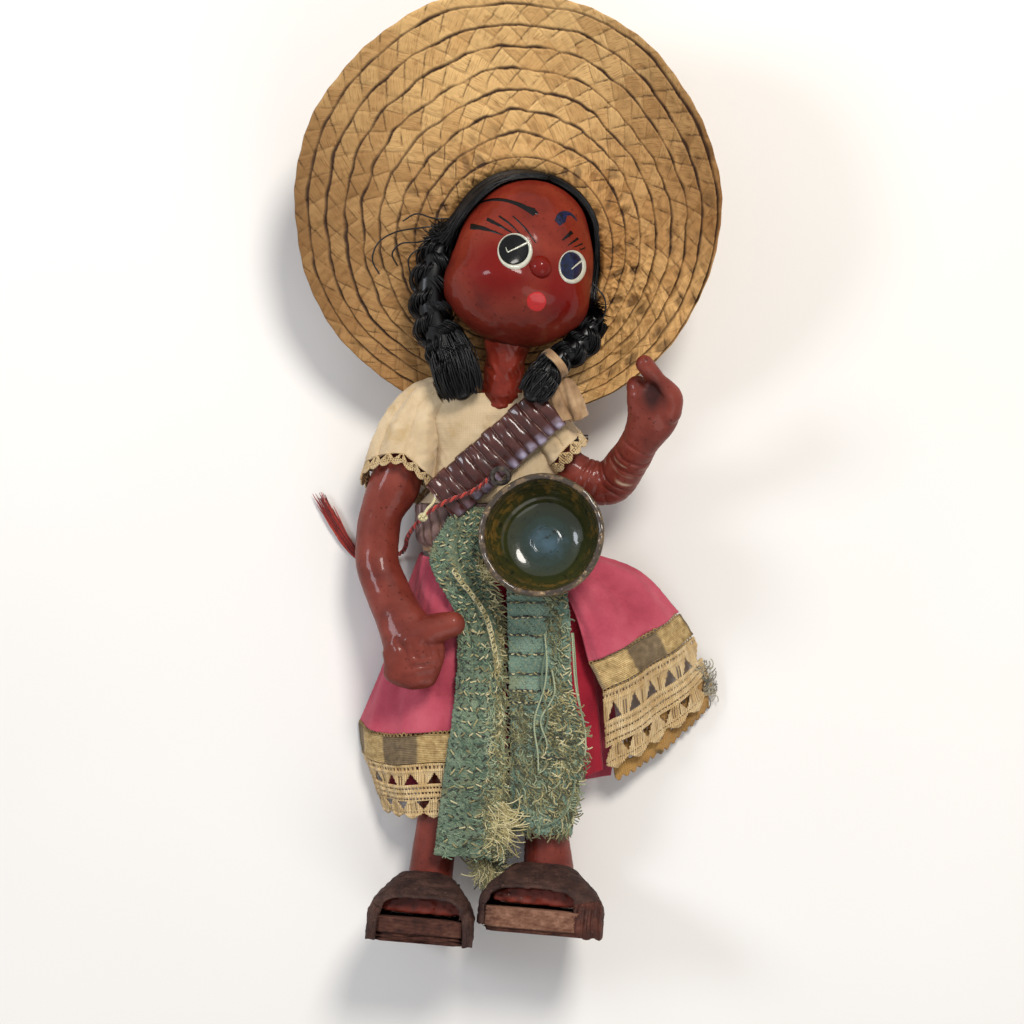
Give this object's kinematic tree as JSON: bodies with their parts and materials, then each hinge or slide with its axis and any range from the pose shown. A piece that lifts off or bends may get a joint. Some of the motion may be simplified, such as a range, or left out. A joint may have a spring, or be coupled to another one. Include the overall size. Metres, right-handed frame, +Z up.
{
  "type": "folk art doll",
  "caption": "Jointed folk art doll lying on its back: palm hat, braided hair, blouse, bandolier, trimmed skirt, shawl strips, sandals and a small clay bowl.",
  "frame": {"origin": "on the board under the middle of the doll's back, at the flat back of the blouse", "axes": "+Z up from the board to the doll's face, +Y to the top of its head, -X its right side"},
  "size_m": [0.1643, 0.3618, 0.0709],
  "materials": {
    "face_lacquer": "glossy lacquer over papier-mache, redder cheeks",
    "limb_lacquer": "brown lacquer over wrapped wire, worn satin",
    "peg_wood": "raw pine dowel",
    "hair": "black fibre, shiny",
    "satin": "beige satin ribbon",
    "straw": "braided palm leaf sewn in rows",
    "wire": "annealed iron wire",
    "cotton": "aged cream cotton",
    "stuffing": "rag stuffing sewn in cotton",
    "lace": "ecru crochet lace",
    "sole_leather": "layered sole leather with a raw edge",
    "sandal_leather": "dark brown strap leather, creased",
    "cartridge_leather": "glossy ribbed leather",
    "glazed_clay": "olive glaze with a copper brown rim",
    "red_cord": "red cotton cord",
    "pink_cotton": "dusty pink cotton",
    "red_cotton": "red cotton",
    "gold_ribbon": "antique gold ribbon",
    "green_weave": "sage green openwork weave with cream yarns"
  },
  "bodies": {
    "torso": {"head": "face_lacquer", "neck": "face_lacquer", "nose_bead": "face_lacquer", "neck_peg": "peg_wood", "hair_cap": "hair", "right_braid": "hair", "left_braid": "hair", "left_braid_tie": "satin", "hair_ribbon": "satin", "sombrero_crown": "straw", "sombrero_brim": "straw", "shoulder_wire": "wire", "right_leg_wire": "wire", "left_leg_wire": "wire", "bowl_ear": "wire", "right_leg": "limb_lacquer", "left_leg": "limb_lacquer", "right_foot": "limb_lacquer", "left_foot": "limb_lacquer", "blouse_body": "cotton", "trunk": "stuffing", "hem_lace_right": "lace", "hem_lace_left": "lace", "fringe_scrap": "lace", "right_sole": "sole_leather", "left_sole": "sole_leather", "right_vamp": "sandal_leather", "left_vamp": "sandal_leather", "right_heel_strap": "sandal_leather", "left_heel_strap": "sandal_leather", "waist_belt": "cartridge_leather", "bandolier": "cartridge_leather", "red_cord": "red_cord", "tassel": "red_cord", "skirt_right": "pink_cotton", "skirt_left": "pink_cotton", "underskirt": "red_cotton", "skirt_back": "red_cotton", "hem_ribbon_right": "gold_ribbon", "hem_ribbon_left": "gold_ribbon", "rebozo_right": "green_weave", "rebozo_left": "green_weave"},
    "right_arm": {"right_upper_arm": "limb_lacquer", "right_sleeve": "cotton", "right_sleeve_lace": "lace"},
    "right_hand": {"right_forearm": "limb_lacquer"},
    "left_arm": {"left_upper_arm": "limb_lacquer", "left_sleeve": "cotton", "left_sleeve_lace": "lace"},
    "left_hand": {"left_forearm": "limb_lacquer"},
    "bowl_body": {"bowl": "glazed_clay"}
  },
  "joints": [
    {"name": "right_shoulder", "type": "hinge", "parent": "torso", "child": "right_arm", "pos_m": [-0.038, 0.012, 0.022], "axis": [-1, 0, 0], "range_deg": [0, 85]},
    {"name": "right_elbow", "type": "hinge", "parent": "right_arm", "child": "right_hand", "pos_m": [-0.05, -0.027, 0.0205], "axis": [-1, 0, 0], "range_deg": [0, 60]},
    {"name": "left_shoulder", "type": "hinge", "parent": "torso", "child": "left_arm", "pos_m": [0.027, 0.012, 0.022], "axis": [-1, 0, 0], "range_deg": [-30, 8]},
    {"name": "left_elbow", "type": "hinge", "parent": "left_arm", "child": "left_hand", "pos_m": [0.04, -0.0055, 0.022], "axis": [-0.5863, -0.4122, 0.6974], "range_deg": [-60, 10]},
    {"name": "bowl_swing", "type": "hinge", "parent": "torso", "child": "bowl_body", "pos_m": [-0.00195, -0.00326, 0.0484], "axis": [-0.8235, -0.5673, 0], "range_deg": [0, 70]}
  ]
}
